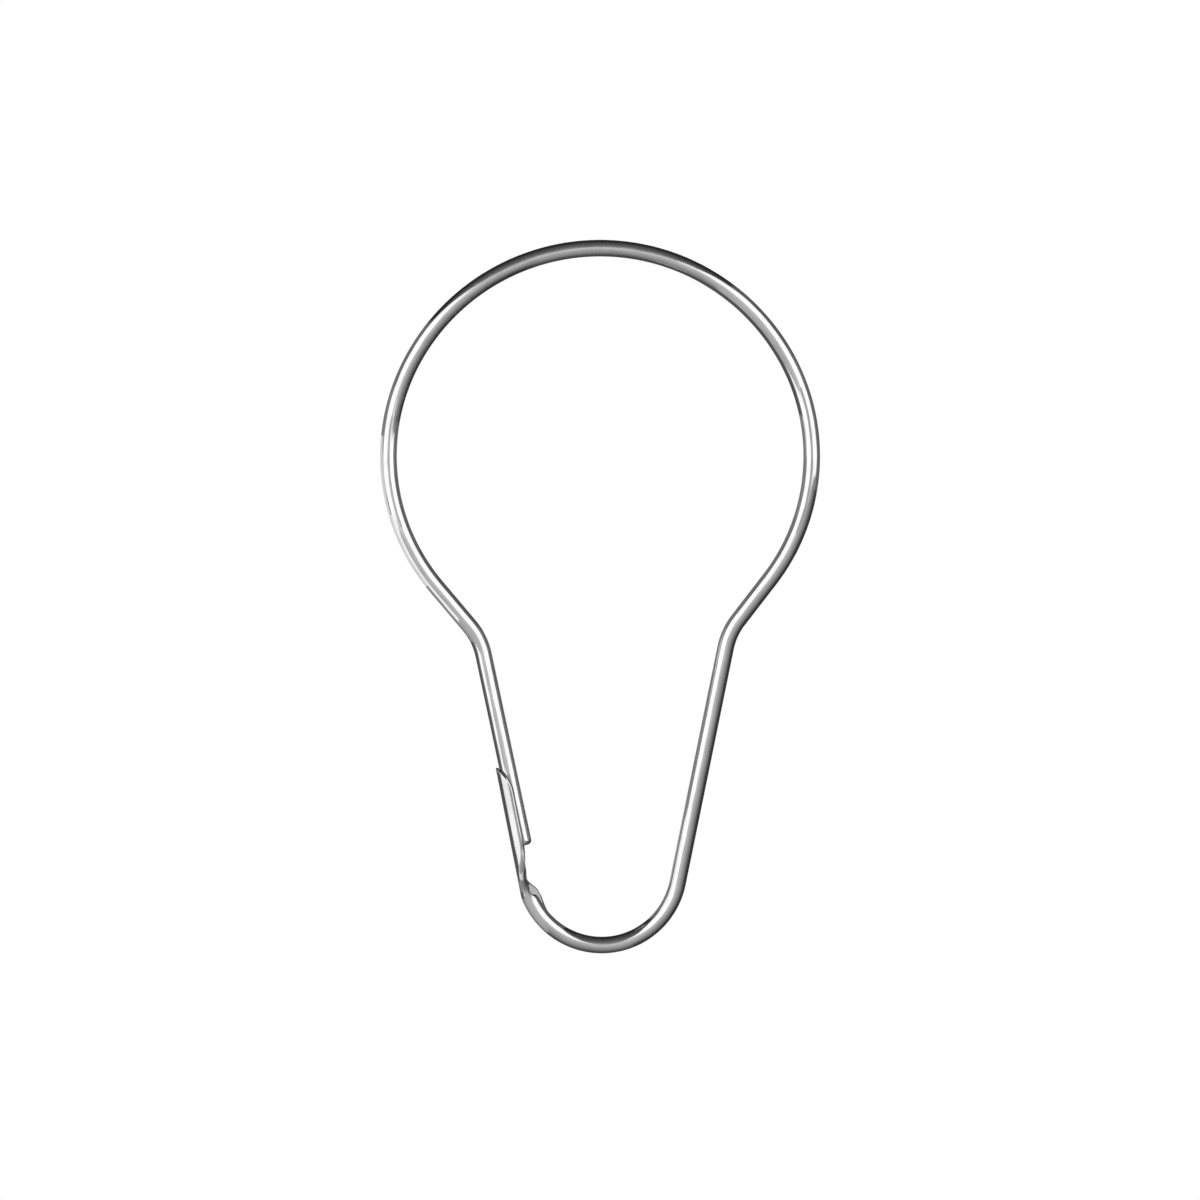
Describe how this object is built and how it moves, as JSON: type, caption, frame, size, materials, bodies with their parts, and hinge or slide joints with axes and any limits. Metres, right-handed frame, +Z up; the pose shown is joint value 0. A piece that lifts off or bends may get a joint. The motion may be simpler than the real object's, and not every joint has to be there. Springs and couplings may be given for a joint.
{
  "type": "shower curtain ring",
  "caption": "Pear-shaped wire ring that hangs a shower curtain's eyelet from a rod, closed by a straight pin that springs into a rolled clasp.",
  "frame": {"origin": "centre of the crown arc, in the middle of the loop that goes over the rod", "axes": "+Z up as the ring hangs, +X towards the plain leg, +Y along the rod, away from the viewer"},
  "size_m": [0.0432, 0.0026, 0.07],
  "materials": {
    "plated_wire": "bright nickel plate on drawn steel wire"
  },
  "bodies": {
    "root": {"curtain_ring": "plated_wire"}
  },
  "joints": []
}
